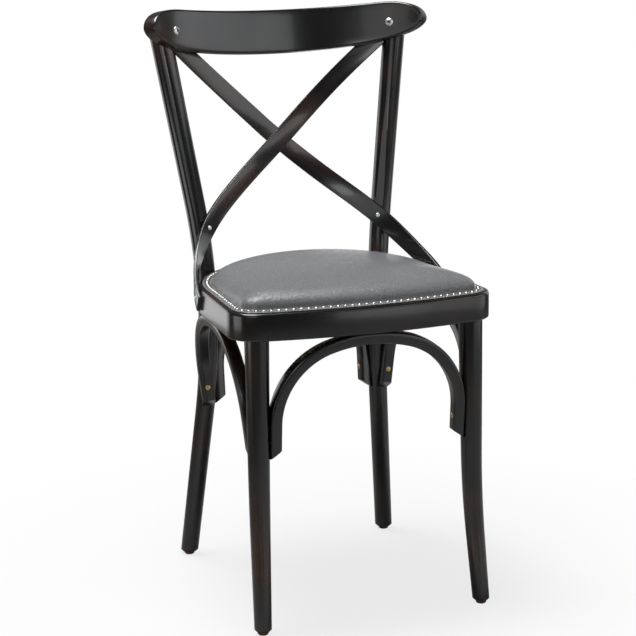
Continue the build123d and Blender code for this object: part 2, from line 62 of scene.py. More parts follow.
# %% [markdown]
# A mesh needs corners and faces. A grid already holds both: neighbours on it share a face. The
# running lengths along its rows and columns are kept as a UV map, so that wood grain can follow
# the bend of a stick. Doubled corners at seams and poles are merged, and then the faces turn out.

# %% Grid helper


def lengths(points, axis):
    """Running length along one grid direction: the mean of the step lengths, summed."""
    steps = np.linalg.norm(np.diff(points, axis=axis), axis=2)
    return np.concatenate([[0.0], np.cumsum(steps.mean(axis=1 - axis))])


def closed(points, axis):
    """The grid with its first line repeated at the end, which closes it that way round."""
    return np.concatenate([points, np.take(points, [0], axis=axis)], axis=axis)


def grid_arrays(points):
    """Corners, quads and corner lengths of one grid: each quad joins four neighbours."""
    rows, columns = points.shape[:2]
    row, column = np.meshgrid(np.arange(rows - 1), np.arange(columns - 1), indexing="ij")
    first = (row * columns + column).ravel()
    quads = np.stack([first, first + columns, first + columns + 1, first + 1], axis=1)
    along, around = np.meshgrid(lengths(points, 0), lengths(points, 1), indexing="ij")
    return points.reshape(-1, 3), quads, np.stack([along.ravel(), around.ravel()], axis=1)


def piece(name, grids, material, stands_for=(), crease=35.0):
    """One object from closed grids, with its lengths kept as a UV map named grain, in metres."""
    corners, quads, grain, count = [], [], [], 0
    for grid in grids:
        own_corners, own_quads, own_grain = grid_arrays(np.asarray(grid, float))
        corners.append(own_corners)
        quads.append(own_quads + count)
        grain.append(own_grain)
        count += len(own_corners)
    corners = (np.concatenate(corners) + to_origin) * MM
    quads = np.concatenate(quads)
    mesh = bpy.data.meshes.new(name)
    mesh.from_pydata(corners.tolist(), [], quads.tolist())
    layer = mesh.uv_layers.new(name="grain")
    layer.data.foreach_set("uv", (np.concatenate(grain)[quads.ravel()] * MM).ravel())
    tidy = bmesh.new()
    tidy.from_mesh(mesh)
    bmesh.ops.remove_doubles(tidy, verts=tidy.verts, dist=1e-6)
    bmesh.ops.dissolve_degenerate(tidy, dist=1e-7, edges=tidy.edges)
    bmesh.ops.recalc_face_normals(tidy, faces=tidy.faces)
    tidy.to_mesh(mesh)
    tidy.free()
    mesh.polygons.foreach_set("use_smooth", np.ones(len(mesh.polygons), bool))
    mesh.set_sharp_from_angle(angle=np.radians(crease))
    thing = bpy.data.objects.new(name, mesh)
    bpy.context.scene.collection.objects.link(thing)
    mesh.materials.append(material)
    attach(thing, "root")
    if stands_for:
        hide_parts(*stands_for)
    print(f"{name}: {len(mesh.vertices)} points, {len(mesh.polygons)} faces")
    return thing


def mirrored(points):
    """The same grid on the other side of the chair."""
    return points * np.array([-1.0, 1.0, 1.0])


print("grid helper: a grid of 2 by 2 points gives", len(grid_arrays(np.zeros((2, 2, 3)))[1]), "face")

# %% [markdown]
# ## Finishes from nodes
# A finish is a small graph of nodes that ends in one shader. The same few moves come back in
# every finish: a noise, a ramp that turns it into colour, a range that turns it into shine and a
# bump that turns it into relief. A helper for each keeps the finishes short and easy to compare.

# %% Node helpers


def new_material(name):
    """An empty node material and its main shader."""
    material = bpy.data.materials.new(name)
    material.use_nodes = True
    return material, material.node_tree.nodes["Principled BSDF"]


def add_node(material, kind, **values):
    """A node with its inputs set by name."""
    node = material.node_tree.nodes.new(kind)
    for key, value in values.items():
        node.inputs[key.replace("_", " ")].default_value = value
    return node


def join(material, *pairs):
    """Links from outputs to inputs."""
    for source, target in pairs:
        material.node_tree.links.new(source, target)


def ramp(material, source, *stops):
    """A colour ramp on a factor, from pairs of place and colour."""
    node = material.node_tree.nodes.new("ShaderNodeValToRGB")
    while len(node.color_ramp.elements) < len(stops):
        node.color_ramp.elements.new(0.5)
    for element, (place, colour) in zip(node.color_ramp.elements, stops):
        element.position = place
        element.color = (*colour, 1.0)
    join(material, (source, node.inputs["Fac"]))
    return node.outputs["Color"]


def span(material, source, low, high):
    """A factor from 0 to 1 carried to a range."""
    node = add_node(material, "ShaderNodeMapRange")
    node.inputs["To Min"].default_value = low
    node.inputs["To Max"].default_value = high
    join(material, (source, node.inputs["Value"]))
    return node.outputs["Result"]


def bump(material, shader, height, strength, distance):
    """Relief from a height."""
    node = add_node(material, "ShaderNodeBump", Strength=strength, Distance=distance)
    join(material, (height, node.inputs["Height"]), (node.outputs["Normal"], shader.inputs["Normal"]))


def grain_map(material, along, across):
    """The grain map stretched by a number of repeats per metre each way."""
    uv = add_node(material, "ShaderNodeUVMap")
    uv.uv_map = "grain"
    stretch = add_node(material, "ShaderNodeMapping", Scale=(along, across, 1.0))
    join(material, (uv.outputs["UV"], stretch.inputs["Vector"]))
    return stretch.outputs["Vector"]


def object_map(material):
    """Places on the object, in metres."""
    return add_node(material, "ShaderNodeTexCoord").outputs["Object"]


def product(material, first, second):
    """Two colours multiplied."""
    node = add_node(material, "ShaderNodeMix")
    node.data_type = "RGBA"
    node.blend_type = "MULTIPLY"
    node.inputs["Factor"].default_value = 1.0
    join(material, (first, node.inputs["A"]), (second, node.inputs["B"]))
    return node.outputs["Result"]


print("node helpers: ramp, span, bump, grain_map, object_map, product")

# %% [markdown]
# ## The black lacquer
# The frame is stained beech under a thin satin lacquer. The stain is almost black, a little
# brown where it lies thin, and the closed grain still shows as fine streaks along each bent
# piece. The grain map runs along every piece, so one stretched noise gives the streaks on all.

# %% Lacquer
stain_dark = (0.0046, 0.0050, 0.0056)
stain_brown = (0.040, 0.0185, 0.0105)


def lacquer():
    """Near-black stain with brown streaks under a satin coat."""
    material, shader = new_material("black lacquer")
    streaks = add_node(material, "ShaderNodeTexNoise", Scale=1.0, Detail=4.0, Roughness=0.55)
    cloud = add_node(material, "ShaderNodeTexNoise", Scale=7.0, Detail=2.0)
    join(material, (grain_map(material, 7.0, 330.0), streaks.inputs["Vector"]))
    join(material, (object_map(material), cloud.inputs["Vector"]))
    stain = ramp(material, cloud.outputs["Fac"], (0.50, stain_dark), (0.68, stain_brown))
    fibre = ramp(material, streaks.outputs["Fac"], (0.35, (0.55, 0.55, 0.55)), (0.75, (1.5, 1.4, 1.3)))
    join(material, (product(material, stain, fibre), shader.inputs["Base Color"]))
    join(material, (span(material, streaks.outputs["Fac"], 0.17, 0.29), shader.inputs["Roughness"]))
    shader.inputs["IOR"].default_value = 1.5
    shader.inputs["Coat Weight"].default_value = 0.25
    shader.inputs["Coat Roughness"].default_value = 0.10
    bump(material, shader, streaks.outputs["Fac"], 0.05, 0.0002)
    return material


BLACK = lacquer()
print("finish:", BLACK.name)

# %% [markdown]
# ## The seat ring
# One strip of beech is bent into a ring: a slightly bowed front, two quick corners, sides
# that close a little, and a half-round back. Every stretch of the plan is a line or an arc,
# so a point and its outward direction are known all round, and a smaller plan is the same
# points moved inward. The ring is its cross-section carried once round that plan.

# %% Plan of the seat
seat_height = 475.5
ring_height = 40.5
ring_wall = 34.0
ring_front_radius = 950.0
ring_corner_radius = 44.0
ring_back_radius = 197.0
ring_back_centre = -3.5
ring_side_taper = 3.0
ring_bottom = seat_height - ring_height
back_middle = np.array([0.0, ring_back_centre])


def direction(angle):
    """Unit directions at angles in degrees from +X."""
    angle = np.radians(angle)
    return np.stack([np.cos(angle), np.sin(angle)], axis=-1)


def arc(centre, radius, start, end, count):
    """Points of an arc and their outward directions, between two angles in degrees."""
    out = direction(np.linspace(start, end, count))
    return centre + radius * out, out


def seat_plan(count):
    """Even points of the ring's plan and outward directions, from the front middle round the right."""
    out = direction(ring_side_taper)
    tangent = back_middle + ring_back_radius * out
    forward = np.array([out[1], -out[0]])
    bow_middle = np.array([0.0, ring_front_radius - ring_front])
    base = tangent - ring_corner_radius * out - bow_middle
    half = forward @ base
    reach = np.sqrt(half**2 - base @ base + (ring_front_radius - ring_corner_radius) ** 2) - half
    corner = tangent - ring_corner_radius * out + forward * reach
    turn = np.degrees(np.arctan2(*(corner - bow_middle)[::-1]))
    runs = [
        arc(bow_middle, ring_front_radius, -90.0, turn, 200),
        arc(corner, ring_corner_radius, turn, ring_side_taper, 120),
        arc(back_middle, ring_back_radius, ring_side_taper, 90.0, 300),
    ]
    half_points = np.concatenate([run[0] for run in runs])
    half_out = np.concatenate([run[1] for run in runs])
    flip = np.array([-1.0, 1.0])
    points = np.concatenate([half_points, half_points[::-1] * flip])
    facing = np.concatenate([half_out, half_out[::-1] * flip])
    run = np.concatenate([[0.0], np.cumsum(np.linalg.norm(np.diff(points, axis=0), axis=1))])
    places = np.linspace(0.0, run[-1], count, endpoint=False)
    even = [np.interp(places, run, array[:, k]) for array in (points, facing) for k in range(2)]
    return np.stack(even[:2], axis=1), np.stack(even[2:], axis=1)


plan_points, plan_out = seat_plan(400)
print("plan:", np.ptp(plan_points, axis=0).round(1), "mm across")

# %% [markdown]
# The ring's section has a round outer edge above and below, and a ledge inside that carries the
# seat board. It could be cut by a boolean, but carried round the plan as one closed loop it keeps
# clean rows of faces, and the grain map runs on round the bend.

# %% Seat ring


def round_corner(centre, radius, start, count=7):
    """A quarter of a circle in the section, from an angle in degrees on towards smaller ones."""
    return centre + radius * direction(np.linspace(start, start - 90.0, count))


def swept_ring(section):
    """A section of inset and height carried round the plan: plan - inset * outward, height."""
    inset, height = section[:, 0], section[:, 1]
    flat = plan_points[:, None] - inset[None, :, None] * plan_out[:, None]
    level = np.broadcast_to(height, flat.shape[:2])
    return np.concatenate([flat, level[..., None]], axis=2)


ring_top_round = 4.5
ring_foot_round = 3.0
board_thickness = 10.0
board_ledge = 14.0
ledge = ring_wall - board_ledge
section = np.concatenate([
    [(ring_wall, ring_bottom), (ledge, ring_bottom)],
    round_corner(np.array([ring_foot_round, ring_bottom + ring_foot_round]), ring_foot_round, 270.0),
    round_corner(np.array([ring_top_round, seat_height - ring_top_round]), ring_top_round, 180.0),
    [(ledge / 2, seat_height), (ledge, seat_height), (ledge, seat_height - board_thickness)],
    [(ring_wall, seat_height - board_thickness)],
])
ring_grid = closed(closed(swept_ring(section), 0), 1)
piece("ring", [ring_grid], BLACK, ["seat_ring"])

# %% [markdown]
# ## Legs and posts
# Each leg is a round stick, bent once. Its middle line is a straight run, an arc and another
# straight run. A level circle at every height, with a radius that follows the taper, gives
# the surface. The back posts are also planed flat in front, where the crest and slats lie.

# %% Bent sticks
glide_height = 5.0
foot_bevel = 3.0
leg_foot = (175.0, -190.5, 0.0)
leg_knee = (169.0, -165.0, 170.0)
leg_foot_diameter = 25.5
leg_knee_diameter = 30.5
leg_top_diameter = 36.0
leg_bend_radius = 1050.0
leg_top_inset = 20.0
leg_top_x = 167.5


def bent_line(foot, knee, top, radius, count=60):
    """Points along two straight runs that an arc joins at the knee, from the bottom up."""
    foot, knee, top = (np.asarray(point, float) for point in (foot, knee, top))
    low = (knee - foot) / np.linalg.norm(knee - foot)
    high = (top - knee) / np.linalg.norm(top - knee)
    half_turn = np.arccos(low @ high) / 2
    inward = (high - low) / np.linalg.norm(high - low)
    middle = knee + inward * radius / np.cos(half_turn)
    along = (low + high) / np.linalg.norm(low + high)
    turn = np.linspace(-half_turn, half_turn, count)[:, None]
    bend = middle - radius * np.cos(turn) * inward + radius * np.sin(turn) * along
    return np.concatenate([[foot], bend, [top]])


def at_height(line, level):
    """Places on a line at some heights."""
    level = np.asarray(level, float)
    return np.stack([np.interp(level, line[:, 2], line[:, k]) for k in range(2)] + [level], axis=-1)


def stick_levels(top, count=180):
    """Heights and radius trims of a stick's rows: closed sole, bevelled foot, body, bevelled top."""
    body = np.linspace(glide_height + foot_bevel, top - foot_bevel, count)
    levels = np.concatenate([[glide_height, glide_height], body, [top, top]])
    trims = np.concatenate([[np.inf, foot_bevel], np.zeros(count), [foot_bevel, np.inf]])
    return levels, trims


def stick(line, stations, top, columns=64):
    """Level circles along a line: place + radius * (cos, sin), the radius read from the stations."""
    levels, trims = stick_levels(top)
    radius = np.interp(levels, *np.array(stations, float).T) / 2
    radius = np.maximum(radius - trims, 0.0)
    out = direction(np.linspace(0.0, 360.0, columns + 1))
    circle = radius[:, None, None] * out[None]
    places = at_height(line, levels)
    return np.concatenate([circle, np.zeros((*circle.shape[:2], 1))], axis=2) + places[:, None]


def front_edge(x):
    """Y of the bowed front at a distance from the middle."""
    return ring_front_radius - ring_front - np.sqrt(ring_front_radius**2 - x**2)


leg_top = (leg_top_x, front_edge(leg_top_x) + leg_top_inset, ring_bottom)
leg_line = bent_line(leg_foot, leg_knee, leg_top, leg_bend_radius)
leg_stations = [(0.0, leg_foot_diameter), (leg_knee[2], leg_knee_diameter), (ring_bottom, leg_top_diameter)]
leg = stick(leg_line, leg_stations, ring_bottom + foot_bevel)
piece("front_leg_right_turned", [leg], BLACK, ["front_leg_right"])
piece("front_leg_left_turned", [mirrored(leg)], BLACK, ["front_leg_left"])

# %% [markdown]
# ## The crest rail
# The crest is a thick board bent to an arc and leaned back. Places on it are given by a
# distance along its front view, a height up the lean and a depth behind the front face. The
# ends are cut to point at one place in front of the chair, so a place at depth d solves
# x = X (1 + y / flare) together with x^2 + (y + R)^2 = (R + d)^2.

# %% Places on the crest
crest_radius = 331.0
crest_thickness = 20.0
crest_lean = 13.0
crest_front_y = 228.0
crest_rise = 850.0
crest_flare = 247.0
lean = np.radians(crest_lean)
crest_origin = np.array([0.0, crest_front_y, crest_rise])
crest_across = np.array([1.0, 0.0, 0.0])
crest_back = np.array([0.0, np.cos(lean), -np.sin(lean)])
crest_up = np.array([0.0, np.sin(lean), np.cos(lean)])


def crest_place(front_x, up, depth):
    """A place at a distance along the front view, a height up the lean and a depth."""
    slope = front_x / crest_flare
    b = slope * front_x + crest_radius
    c = front_x**2 + crest_radius**2 - (crest_radius + depth) ** 2
    y = (np.sqrt(b**2 - (slope**2 + 1) * c) - b) / (slope**2 + 1)
    x = front_x + slope * y
    local = [x[..., None] * crest_across, y[..., None] * crest_back, np.asarray(up)[..., None] * crest_up]
    return crest_origin + sum(local)


def on_crest(x, depth, rise):
    """A place at a distance from the middle, a depth behind the front face and a height."""
    y = np.sqrt((crest_radius + depth) ** 2 - x**2) - crest_radius
    up = (rise - crest_rise - y * crest_back[2]) / crest_up[2]
    return crest_origin + x * crest_across + y * crest_back + up * crest_up


def crest_normal(x, depth):
    """Direction out of the crest's back at a distance from the middle."""
    turn = np.arcsin(x / (crest_radius + depth))
    return np.sin(turn) * crest_across + np.cos(turn) * crest_back


print("crest: middle at", crest_origin, "leaned back", crest_lean, "degrees")

# %% [markdown]
# Seen from the front, the board has a straight top, quarter ellipses at its ends and a half
# ellipse below. The surface starts on a line inside the front face, runs out to the outline,
# round both edges and in again on the back, so the outline is one direction of the grid.

# %% Crest rail
crest_half_length = 325.0
crest_flat = 195.0
crest_top = 17.8
crest_waist = -14.0
crest_drop = 50.0
crest_round = 3.5


def crest_outline(count):
    """Front view: straight top, quarter ellipses at its ends and a half ellipse below."""
    high, low = crest_top - crest_waist, crest_waist + crest_drop
    quarter = direction(np.linspace(0.0, 90.0, count))
    right = np.array([crest_flat, crest_waist]) + quarter * [crest_half_length - crest_flat, high]
    left = right[::-1] * [-1.0, 1.0]
    top = np.stack([np.linspace(crest_flat, -crest_flat, count)[1:-1], np.full(count - 2, crest_top)], axis=1)
    under = direction(np.linspace(180.0, 360.0, 3 * count))[1:-1]
    foot = [0.0, crest_waist] + under * [crest_half_length, low]
    return np.concatenate([right, top, left, foot])


def crest_grid():
    """Outline by profile: from a line in the front face over the rounded edges to the back."""
    outline = crest_outline(60)
    step = np.roll(outline, -1, axis=0) - np.roll(outline, 1, axis=0)
    inward = np.stack([-step[:, 1], step[:, 0]], axis=1) / np.linalg.norm(step, axis=1)[:, None]
    front = round_corner(np.array([crest_round, crest_round]), crest_round, 270.0, 9)
    back = np.array([0.0, crest_thickness]) + front[::-1] * [1.0, -1.0]
    shares = np.array([1.0, 0.66, 0.33] + [0.0] * (len(front) + len(back)) + [0.33, 0.66, 1.0])
    inset = np.concatenate([[crest_round] * 3, front[:, 0], back[:, 0], [crest_round] * 3])
    depth = np.concatenate([[0.0] * 3, front[:, 1], back[:, 1], [crest_thickness] * 3])
    rim = outline[None] + inset[:, None, None] * inward[None]
    spine = np.stack([outline[:, 0] * 0.9, np.full(len(outline), crest_waist)], axis=1)
    flat = rim + (spine[None] - rim) * shares[:, None, None]
    return crest_place(flat[..., 0], flat[..., 1], np.broadcast_to(depth[:, None], flat.shape[:2]))


piece("crest", [closed(crest_grid(), 1)], BLACK, ["crest_rail"])

# %% [markdown]
# ## The back posts
# A post stands outside the ring, passes it, and leans back to carry the crest. The knee is
# moved until the bent line passes the ring at the right place. Above the seat the front is
# planed flat. A level circle is then an arc and a chord, so each row of points is split into
# a stretch on the arc and a stretch on the chord, and the edge of the flat stays crisp.

# %% Back posts
post_foot = (170.8, 187.5)
post_knee_rise = 417.0
post_angle = 46.4
post_housing = 2.5
post_bend_radius = 950.0
post_foot_diameter = 28.0
post_seat_diameter = 31.5
post_top_diameter = 35.0
post_top_rise = 866.0
post_top_trim = 5.0
post_crest_x = 188.5
post_flat_top = 13.0
post_flat_low = 15.4
crest_housing = 1.2
crest_screw_rise = 846.0
slat_post_rise = 539.5


def back_point(angle, radius, rise):
    """A place at an angle and a distance from the middle of the half-round back."""
    return np.array([*(back_middle + radius * direction(angle)), rise])


def post_behind_crest():
    """The post's middle line at the height of the crest screw."""
    depth = crest_thickness - crest_housing
    return on_crest(post_crest_x, depth, crest_screw_rise) + crest_normal(post_crest_x, depth) * post_flat_top


def post_line():
    """The right post's middle line, its knee moved until the line passes the ring's side."""
    radius = ring_back_radius + post_seat_diameter / 2 - post_housing
    seat = back_point(post_angle, radius, seat_height - ring_height / 2)
    crest = post_behind_crest()
    knee = np.array([*seat[:2], post_knee_rise])
    for _ in range(8):
        top = knee + (crest - knee) * (post_top_rise - knee[2]) / (crest[2] - knee[2])
        line = bent_line((*post_foot, 0.0), knee, top, post_bend_radius)
        miss = seat - at_height(line, seat[2])
        knee = knee + miss * [1.0, 1.0, 0.0]
    return line


post_middle = post_line()
flat_normal = crest_normal(post_crest_x, crest_thickness)
flat_place = at_height(post_middle, slat_post_rise) - flat_normal * post_flat_low
post_stations = [(0.0, post_foot_diameter), (seat_height, post_seat_diameter)]
post_stations += [(post_top_rise, post_top_diameter)]


def planed_stick(line, stations, top, arc_columns=56, chord_columns=8):
    """Level circles with the part in front of the flat replaced by the chord on the flat."""
    levels, trims = stick_levels(top)
    places = at_height(line, levels)
    radius = np.maximum(np.interp(levels, *np.array(stations, float).T) / 2 - trims, 0.0)
    level_normal = flat_normal[:2] / np.linalg.norm(flat_normal[:2])
    reach = (places - flat_place) @ flat_normal / np.linalg.norm(flat_normal[:2])
    half = np.arccos(np.clip(reach / np.maximum(radius, 1e-6), -1.0, 1.0))
    start = np.arctan2(*level_normal[::-1]) + np.pi + half
    turn = start[:, None] + (2 * np.pi - 2 * half)[:, None] * np.linspace(0.0, 1.0, arc_columns)
    arc_part = radius[:, None, None] * np.stack([np.cos(turn), np.sin(turn)], axis=2)
    share = np.linspace(0.0, 1.0, chord_columns)[None, 1:, None]
    chord = arc_part[:, -1:] + (arc_part[:, :1] - arc_part[:, -1:]) * share
    loop = np.concatenate([arc_part, chord], axis=1)
    return np.concatenate([loop, np.zeros((*loop.shape[:2], 1))], axis=2) + places[:, None]


post = planed_stick(post_middle, post_stations, post_top_rise - post_top_trim)
piece("back_post_right_bent", [post], BLACK, ["back_post_right"], 14.0)
piece("back_post_left_bent", [mirrored(post)], BLACK, ["back_post_left"], 14.0)

# %% [markdown]
# ## The crossing slats
# This is the feature that takes most skill: two thin strips bent round the back, half-lapped
# where they cross, twisted past the posts and wrapped round the ring. The middle line is a
# cubic through a few places that are known on the crest, the post and the ring, and the
# strip's outward direction turns evenly from each place to the next.

# %% Crossing slats
slat_width = 28.0
slat_thickness = 5.5
slat_gap = 0.3
slat_round = 1.3
slat_step = 1.2
slat_lap_reach = 45.0
slat_cross_rise = 664.0
slat_upper_x = 150.5
slat_upper_rise = 805.0
slat_top_x = 171.0
slat_low = (70.4, 205.3, 605.35)
slat_bend = (25.0, 494.5)
slat_end = (8.0, 461.0)
slat_tail_angle = 3.5
slat_depth = crest_thickness + slat_gap + slat_thickness / 2
slat_end_radius = ring_back_radius + slat_gap + slat_thickness / 2


def slat_rise(x):
    """Height of a slat's middle line on the bowed back, a straight climb from the crossing."""
    return slat_cross_rise + x * (slat_upper_rise - slat_cross_rise) / slat_upper_x


def slat_keys():
    """Known places and outward directions of the slat from upper left to lower right."""
    across = (-slat_top_x, -slat_upper_x, -slat_upper_x / 2, 0.0)
    places = [on_crest(x, slat_depth, slat_rise(-x)) for x in across]
    facing = [crest_normal(x, slat_depth) for x in across]
    places += [back_point(*slat_low), flat_place - flat_normal * (slat_gap + slat_thickness / 2)]
    facing += [facing[-1] + flat_normal, flat_normal]
    fall = (slat_bend[1] - slat_end[1]) / (slat_bend[0] - slat_end[0])
    for turn in (slat_bend[0], slat_end[0], slat_end[0] - slat_tail_angle):
        places.append(back_point(turn, slat_end_radius, slat_end[1] + (turn - slat_end[0]) * fall))
        facing.append(np.array([*direction(turn), 0.0]))
    facing = np.array(facing)
    return np.array(places), facing / np.linalg.norm(facing, axis=1)[:, None]


print("slat keys:", len(slat_keys()[0]))

# %% [markdown]
# A natural cubic is the line that a thin springy strip takes between pins, so it suits a steamed
# slat. A strip with rounded edges is carried along it, and each slat steps out by half its lap
# where the two cross.

# %% Slat surfaces


def cubic(keys, count):
    """Natural cubic through keys: second derivatives solve one banded system over the chords."""
    chord = np.linalg.norm(np.diff(keys, axis=0), axis=1)
    place = np.concatenate([[0.0], np.cumsum(chord)])
    slopes = np.diff(keys, axis=0) / chord[:, None]
    system = np.eye(len(keys))
    inner = np.arange(1, len(keys) - 1)
    system[inner, inner - 1] = chord[:-1]
    system[inner, inner] = 2 * (chord[:-1] + chord[1:])
    system[inner, inner + 1] = chord[1:]
    right = np.zeros_like(keys)
    right[1:-1] = 6 * np.diff(slopes, axis=0)
    second = np.linalg.solve(system, right)
    where = np.linspace(0.0, place[-1], count)
    k = np.clip(np.searchsorted(place, where) - 1, 0, len(chord) - 1)
    b = ((where - place[k]) / chord[k])[:, None]
    a = 1 - b
    bow = ((a**3 - a) * second[k] + (b**3 - b) * second[k + 1]) * chord[k, None] ** 2 / 6
    return a * keys[k] + b * keys[k + 1] + bow, where, place


def rounded_rectangle(width, height, radius, count=5):
    """A closed loop about the origin: four quarter circles, clockwise."""
    corner = np.array([width, height]) / 2 - radius
    signs = [(-1, 1), (1, 1), (1, -1), (-1, -1)]
    starts = (180.0, 90.0, 0.0, -90.0)
    turns = [round_corner(corner * sign, radius, start, count) for sign, start in zip(signs, starts)]
    return np.concatenate(turns)


def capped(grid):
    """A grid with both ends closed by a row at the middle of the last loop."""
    ends = [np.broadcast_to(row.mean(axis=0), row.shape)[None] for row in (grid[0], grid[-1])]
    return np.concatenate([ends[0], grid, ends[1]])


def slat(step):
    """A rounded strip along the cubic, moved out by a step where the two slats cross."""
    places, facing = slat_keys()
    line, where, known = cubic(places, 140)
    out = np.stack([np.interp(where, known, facing[:, k]) for k in range(3)], axis=1)
    along = np.gradient(line, axis=0)
    along /= np.linalg.norm(along, axis=1)[:, None]
    wide = np.cross(out, along)
    wide /= np.linalg.norm(wide, axis=1)[:, None]
    thick = np.cross(along, wide)
    line = line + thick * (step * np.exp(-(((where - known[3]) / slat_lap_reach) ** 4)))[:, None]
    loop = rounded_rectangle(slat_width, slat_thickness, slat_round)
    grid = line[:, None] + loop[None, :, :1] * wide[:, None] + loop[None, :, 1:] * thick[:, None]
    return closed(capped(grid), 1)


piece("slat_rear_bent", [slat(slat_step)], BLACK, ["cross_slat_rear"])
piece("slat_front_bent", [mirrored(slat(-slat_step))], BLACK, ["cross_slat_front"])

# %% [markdown]
# ## The four arches
# Each arch is a square-sawn strip bent in one plane: a straight limb on each leg, a tight
# shoulder and a flatter crown that meets the ring. A point of the section is a distance in
# from the outer face and a distance across, and every such line is again limb, arc, arc.

# %% Arch shape
arch_thickness = 18.0
arch_width = 20.0
arch_end_rise = 258.0
arch_shoulder_radius = 123.0
arch_crown_radius = 233.0
arch_end_slope = 12.5
arch_housing = 1.0
arch_top_trim = 0.6
arch_round = 4.0


def arch_half(half_span, rise, inward):
    """Rows of points in the arch's plane from the foot to the crown, for each inward distance."""
    reach = half_span - arch_shoulder_radius
    turn = np.arcsin(reach / (arch_crown_radius - arch_shoulder_radius))
    level = rise - arch_crown_radius + (arch_crown_radius - arch_shoulder_radius) * np.cos(turn)
    share = np.linspace(0.0, 1.0, 14)[:-1, None]
    foot = arch_end_slope * inward / arch_thickness
    limb = np.stack(np.broadcast_arrays(half_span - inward, foot + (level - foot) * share), axis=2)
    angle = np.linspace(0.0, np.pi / 2 - turn, 30)[:-1, None]
    small = arch_shoulder_radius - inward
    shoulder = np.stack([reach + small * np.cos(angle), level + small * np.sin(angle)], axis=2)
    angle = np.linspace(np.pi / 2 - turn, np.pi / 2, 24)[:, None]
    large = arch_crown_radius - inward
    crown = np.stack([large * np.cos(angle), rise - arch_crown_radius + large * np.sin(angle)], axis=2)
    return np.concatenate([limb, shoulder, crown])


def arch_axes(end_a, end_b, crown):
    """Middle of the ends, unit directions across and up to the crown, half the span and the rise."""
    middle = (end_a + end_b) / 2
    apart = np.linalg.norm(end_b - end_a)
    across = (end_b - end_a) / apart
    climb = crown - middle - across * ((crown - middle) @ across)
    rise = np.linalg.norm(climb)
    return middle, across, climb / rise, apart / 2, rise


def arch(*ends_and_crown):
    """The section carried from one end over the crown to the other, in the plane of the three."""
    middle, across, up, half_span, rise = arch_axes(*ends_and_crown)
    loop = rounded_rectangle(arch_thickness, arch_width, arch_round)
    half = arch_half(half_span, rise, loop[:, 0] + arch_thickness / 2)
    flat = np.concatenate([half, half[-2::-1] * [-1.0, 1.0]])
    grid = middle + flat[..., :1] * across + flat[..., 1:] * up + loop[None, :, 1:] * np.cross(across, up)
    return closed(capped(grid), 1)


print("arch section:", arch_thickness, "by", arch_width, "mm")

# %% [markdown]
# The arches are screwed to the legs and the posts and touch the ring from below. Each end is set a
# little into its round stick, and the crown comes up to the middle of the ring's wall.

# %% Arches in place


def arch_places():
    """Ends and crowns: on the legs and posts, and under the middle of the ring's wall."""
    leg_spot = at_height(leg_line, arch_end_rise)
    post_spot = at_height(post_middle, arch_end_rise)
    leg_reach = np.interp(arch_end_rise, *np.array(leg_stations).T) / 2 - arch_housing
    post_reach = np.interp(arch_end_rise, *np.array(post_stations).T) / 2 - arch_housing
    top = ring_bottom + arch_top_trim
    front = leg_spot - [leg_reach, 0.0, 0.0]
    rear = post_spot - [post_reach, 0.0, 0.0]
    side_y = (leg_spot[1] + post_spot[1]) / 2
    rear_y = ring_back_centre + ring_back_radius - ring_wall / 2
    return {
        "front": (mirrored(front), front, np.array([0.0, ring_wall / 2 - ring_front, top])),
        "rear": (rear, mirrored(rear), np.array([0.0, rear_y, top])),
        "side": (
            leg_spot + [0.0, leg_reach, 0.0],
            post_spot - [0.0, post_reach, 0.0],
            np.array([ring_back_radius - ring_wall / 2, side_y, top]),
        ),
    }


spots = arch_places()
side_arch = arch(*spots["side"])
piece("front_arch_bent", [arch(*spots["front"])], BLACK, ["front_arch"])
piece("rear_arch_bent", [arch(*spots["rear"])], BLACK, ["rear_arch"])
piece("right_arch_bent", [side_arch], BLACK, ["right_arch"])
piece("left_arch_bent", [mirrored(side_arch)], BLACK, ["left_arch"])

# %% [markdown]
# ## The leather
# The seat is covered in mid-grey leather with a fine pebbled grain. Cells give the pebbles and the
# creases between them; they also paint shade into the colour, the creases darker and the pebble tops
# a touch lighter. A finer noise roughens them, and a broad cloud shifts tone and shine a little from
# place to place, as on a hide. The grain is fixed in space, so it needs no UV map.

# %% Leather
leather_dark = (0.182, 0.185, 0.189)
leather_pale = (0.206, 0.209, 0.213)
pebble_top_painted_light = (1.05, 1.05, 1.05)
crease_painted_shade = (0.87, 0.87, 0.87)


def leather():
    """Mid-grey leather: small raised pebbles, painted shade in the creases, a little uneven shine."""
    material, shader = new_material("grey leather")
    where = object_map(material)
    cells = add_node(material, "ShaderNodeTexVoronoi", Scale=330.0)
    fine = add_node(material, "ShaderNodeTexNoise", Scale=900.0, Detail=2.0)
    cloud = add_node(material, "ShaderNodeTexNoise", Scale=9.0, Detail=3.0)
    join(material, *((where, node.inputs["Vector"]) for node in (cells, fine, cloud)))
    tone = ramp(material, cloud.outputs["Fac"], (0.3, leather_dark), (0.7, leather_pale))
    # Painted shade: the creases between pebbles are darker, and the pebble tops are a touch lighter as
    # painted light.
    crease = ramp(material, cells.outputs["Distance"], (0.25, pebble_top_painted_light), (0.75, crease_painted_shade))
    join(material, (product(material, tone, crease), shader.inputs["Base Color"]))
    join(material, (span(material, cloud.outputs["Fac"], 0.22, 0.31), shader.inputs["Roughness"]))
    height = add_node(material, "ShaderNodeMath")
    height.operation = "SUBTRACT"
    join(material, (fine.outputs["Fac"], height.inputs[0]), (cells.outputs["Distance"], height.inputs[1]))
    bump(material, shader, height.outputs["Value"], 0.60, 0.0007)
    return material


GREY = leather()
print("finish:", GREY.name)

# %% [markdown]
# ## The upholstered seat
# The leather is pulled over foam and nailed through a flat border. The pad is one closed surface:
# under the border, round its cut edge, over the border to the nails, then up to a broad crown that
# is fuller along the front edge than at the sides. A crown could be lathed or sculpted. Here the
# plan shrinks ring by ring as it climbs, on a square grid, so no point of it has too many faces.

